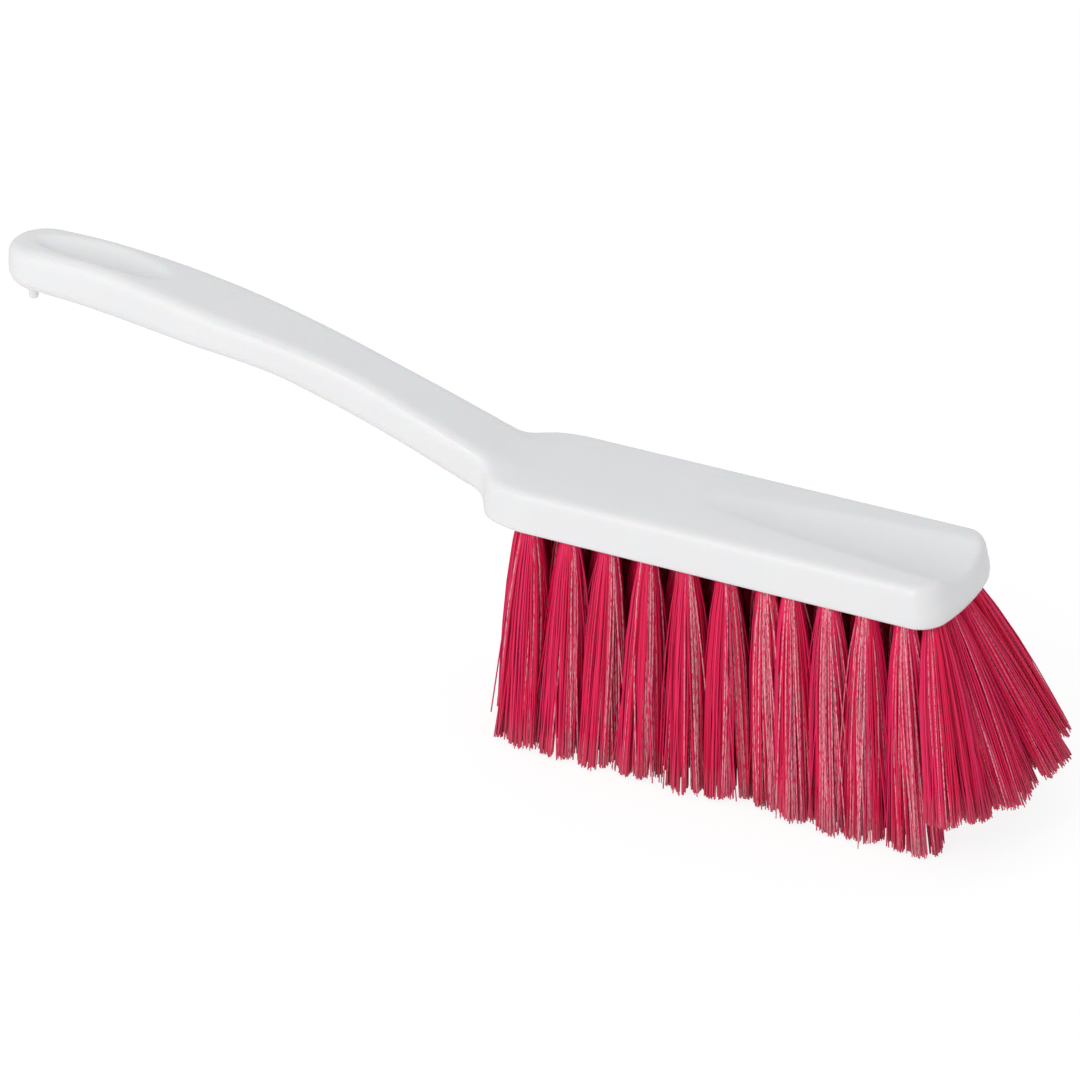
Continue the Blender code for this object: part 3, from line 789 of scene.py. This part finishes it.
def makeFilament(bow, material):     # one filament, 1 long, from z 0 at its root to z -1
    segments = tuft["filamentSegments"]
    strength, fall = tuft["bowSkew"]
    bpy.ops.mesh.primitive_cylinder_add(
        vertices=4, radius=tuft["filamentDiameter"] / 2, depth=1, location=(0, 0, -0.5),
        rotation=(0, 0, math.pi / 4))       # a flat side outward
    filament = bpy.context.object
    settle(filament)
    startEditing(filament)
    pickEdges(lambda start, end, normals: abs(start.z - end.z) > 0.5)
    bpy.ops.mesh.subdivide(number_cuts=segments - 1)
    for ring in range(1, segments + 1):
        share = ring / segments
        pickPoints(lambda place: abs(place.z + share) < 0.05)
        bulge = bow * 4 * share * (1 - share) * (strength - fall * share)
        bpy.ops.transform.translate(value=(bulge, 0, 0))
    pickPoints(lambda place: place.z < -0.95)
    taper = tuft["tipTaper"]
    bpy.ops.transform.resize(value=(taper, taper, 1), center_override=(0, 0, -1))
    stopEditing()
    bpy.ops.object.shade_smooth()
    filament.data.materials.append(material)
    along = filament.data.attributes.new("along", "FLOAT", "POINT")
    for vertex in filament.data.vertices:
        along.data[vertex.index].value = -vertex.co.z
    filament.data.attributes.new("tone", "FLOAT", "POINT")
    filament.data.attributes.new("outward", "FLOAT_VECTOR", "POINT")
    return filament


def inDisc(dice, power=0.5):         # over a disc of radius 1, evenly at power 0.5
    angle, reach = dice.uniform(0, 2 * math.pi), dice.random() ** power
    return Vector((reach * math.cos(angle), reach * math.sin(angle), 0))


def copyFilament(template, root, tip, turn, tone, outward):
    copy = template.copy()
    copy.data = template.data.copy()
    along = tip - root
    cosine, sine = math.cos(turn), math.sin(turn)
    copy.data.transform(Matrix((
        (cosine, -sine, -along.x, root.x),
        (sine, cosine, -along.y, root.y),
        (0, 0, -along.z, root.z),
        (0, 0, 0, 1),
    )))
    count = len(copy.data.vertices)
    copy.data.attributes["tone"].data.foreach_set("value", [tone] * count)
    copy.data.attributes["outward"].data.foreach_set("vector", list(outward) * count)
    bpy.context.collection.objects.link(copy)
    return copy


def sheenAt(x):             # share, place and width of the painted highlight
    rows = tuft["paintedSheen"]
    for start, end in zip(rows, rows[1:]):
        if x - wallX <= end[0]:
            share = (x - wallX - start[0]) / (end[0] - start[0])
            return [a + (b - a) * share for a, b in zip(start[1:], end[1:])]
    return rows[-1][1:]


def makeTuft(node, mouth, way, depth, atNose, templates, dice):
    radii = (tuft["noseTipRadius"], tuft["noseTipWidth"]) if atNose else (tuft["tipRadius"],) * 2
    forward = Vector((way.x, way.y, 0)).normalized()
    spread = dice.uniform(*tuft["ownSpread"])
    drift = [-1, 1]         # the end tufts only cross towards the others
    if mouth.x < wallX + tuftRows["firstFromWall"] + mm:
        drift[0] = 0
    if mouth.x > noseX - 2 * tuftRows["frontPitch"]:
        drift[1] = 0
    clumps = [inDisc(dice) * tuft["clumpRadius"] for number in range(tuft["clumps"])]
    end = mouth + way * depth + Vector((dice.gauss(0, 1), dice.gauss(0, 1), 0)) * tuft["ownLean"]
    # painted highlight: pale filaments gathered on one side of each tuft, more of them towards the
    # nose
    share, place, width = sheenAt(mouth.x)
    sheenAngle = math.copysign(math.pi / 2 - place, mouth.y) + dice.gauss(0, tuft["sheenTurn"])
    low, high = cadBounds
    margin = tuft["boxMargin"]
    bpy.ops.object.select_all(action="DESELECT")
    for number in range(tuft["filaments"]):
        off = inDisc(dice, tuft["outerShare"])
        nearest = min(clumps, key=lambda clump: (clump - off).length)
        aim = off.lerp(nearest, tuft["noseClumping"] if atNose else tuft["clumping"])
        stray = dice.random() < tuft["strays"]
        scatter = tuft["strayScatter"] if stray else tuft["tipScatter"]
        root = mouth - way.normalized() * tuft["rootInHole"] + off * tuft["rootRadius"]
        ahead = aim.dot(forward) * forward
        tip = end + (ahead * radii[0] + (aim - ahead) * radii[1]) * spread + inDisc(dice) * scatter
        if not atNose and dice.random() < tuft["crossing"]:
            tip.x += dice.uniform(*drift) * tuft["crossingReach"]
        short = tuft["clumpPoint"] * (nearest - off).length
        tip -= way * (short * dice.uniform(*tuft["clumpPointVaries"]) + tuft["ragged"] * dice.random())
        for axis in range(3):
            tip[axis] = min(max(tip[axis], low[axis] + margin), high[axis] - margin)
        angle = math.atan2(off.y, off.x)
        turned = math.remainder(angle - sheenAngle, 2 * math.pi) / width
        # painted highlight: the chance that this filament is painted pale
        chance = tuft["strayHighlight"] if stray else share * math.exp(-turned ** 2) + tuft["looseHighlight"]
        paintedHighlight = dice.random() < chance
        tone = dice.uniform(*tuft["highlightTones" if paintedHighlight else "redTones"])
        turn = angle + dice.gauss(0, tuft["turnScatter"])
        copy = copyFilament(dice.choice(templates), root, tip, turn, tone, off.normalized())
        copy.select_set(True)
        bpy.context.view_layer.objects.active = copy
    bpy.ops.object.join()
    piece = bpy.context.object
    piece.name = piece.data.name = node + "_filaments"
    bpy.data.batch_remove([mesh for mesh in bpy.data.meshes if not mesh.users])
    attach(piece, "root")
    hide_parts(node)


# Camera, lights and floor

cameraPlace = {
    "azimuth": 27.4,             # degrees round from the side, towards the nose
    "elevation": 28.55,
    "distance": 2.2,
    "lens": 227.3,               # millimetres, as the sensor's width is
    "sensor": 36,
    "target": (6.06 * mm, 0.53 * mm, 59.8 * mm),
}

studioLights = {                 # azimuth, elevation, distance, width, height, watts, colour
    "key softbox": (-13.0, 26.0, 1.3, 1.25, 1.1, 4.6, "#FFFAF6"),
    "strip softbox": (-2.0, 38.0, 1.6, 0.06, 0.5, 2.0, "#FFFFFF"),
}

background = {
    "floorColour": "#F6F6F6",
    "floorSize": 6.0,
    "worldStrength": 0.7,
    "cameraWhite": 0.8,          # share of plain white that the camera sees in the floor
    "whiteStrength": 1.08,
}


def fromTarget(azimuth, elevation, distance):
    a, e = math.radians(azimuth), math.radians(elevation)
    back = Vector((math.sin(a) * math.cos(e), -math.cos(a) * math.cos(e), math.sin(e)))
    return Vector(cameraPlace["target"]) + back * distance, (math.pi / 2 - e, 0, a)


def addCamera():
    place, turn = fromTarget(*[cameraPlace[name] for name in ("azimuth", "elevation", "distance")])
    bpy.ops.object.camera_add(location=place, rotation=turn)
    camera = bpy.context.object
    camera.data.lens = cameraPlace["lens"]
    camera.data.sensor_width = cameraPlace["sensor"]
    bpy.context.scene.camera = camera


def addLights():
    for name, (azimuth, elevation, distance, width, height, watts, colour) in studioLights.items():
        place, turn = fromTarget(azimuth, elevation, distance)
        bpy.ops.object.light_add(type="AREA", location=place, rotation=turn)
        light = bpy.context.object
        light.name = name
        light.data.shape = "RECTANGLE"
        light.data.size = width
        light.data.size_y = height
        light.data.energy = watts
        light.data.color = fromHex(colour)[:3]
    world = bpy.data.worlds.new("white studio")
    bpy.context.scene.world = world
    world.use_nodes = True
    tree = world.node_tree
    tree.nodes.clear()
    path = addNode(tree, "ShaderNodeLightPath")
    strength = addNode(tree, "ShaderNodeMapRange", inputs={
        "Value": path.outputs["Is Camera Ray"], "To Min": background["worldStrength"], "To Max": 1.0})
    sky = addNode(tree, "ShaderNodeBackground", inputs={
        "Color": (1, 1, 1, 1), "Strength": strength.outputs["Result"]})
    addNode(tree, "ShaderNodeOutputWorld", inputs={"Surface": sky.outputs["Background"]})


def addFloor():
    bpy.ops.mesh.primitive_plane_add(size=background["floorSize"])
    floor = bpy.context.object
    floor.name = "studio_floor"
    material, tree = newMaterial("white studio paper")
    path = addNode(tree, "ShaderNodeLightPath")
    seen = addNode(tree, "ShaderNodeMath", {"operation": "MULTIPLY"}, {
        0: path.outputs["Is Camera Ray"], 1: background["cameraWhite"]})
    paper = addNode(tree, "ShaderNodeBsdfDiffuse", inputs={
        "Color": fromHex(background["floorColour"])})
    white = addNode(tree, "ShaderNodeEmission", inputs={
        "Color": (1, 1, 1, 1), "Strength": background["whiteStrength"]})
    mixed = addNode(tree, "ShaderNodeMixShader", inputs={
        "Fac": seen.outputs[0], 1: paper.outputs["BSDF"], 2: white.outputs["Emission"]})
    addNode(tree, "ShaderNodeOutputMaterial", inputs={"Surface": mixed.outputs["Shader"]})
    floor.data.materials.append(material)


addCamera()
addLights()
addFloor()
bpy.context.scene.view_settings.view_transform = "Standard"
print("studio ready")

plan = planTufts()
body = makeBlank()
print("blank extruded:", len(body.data.polygons), "faces")
cutScoop(body)
cutDish(body)
softenBlank(body)
bendBlank(body)
addPeg(body)
drillHoles(body, plan)
showOnly(body)
bpy.ops.object.shade_smooth_by_angle(angle=math.radians(broomBody["creaseAngle"]))
body.data.materials.clear()
body.data.materials.append(makeWhitePlastic())
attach(body, "root")
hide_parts("block_and_handle")
print("body finished:", len(body.data.polygons), "faces")

red = makeRedFilament()
templates = [makeFilament(bow, red) for bow in tuft["bows"]]
dice = random.Random(tuft["seed"])
for node, mouth, way, depth, atNose in plan:
    makeTuft(node, mouth, way, depth, atNose, templates, dice)
for template in templates:
    bpy.data.objects.remove(template, do_unlink=True)
print("tufts set:", len(plan))
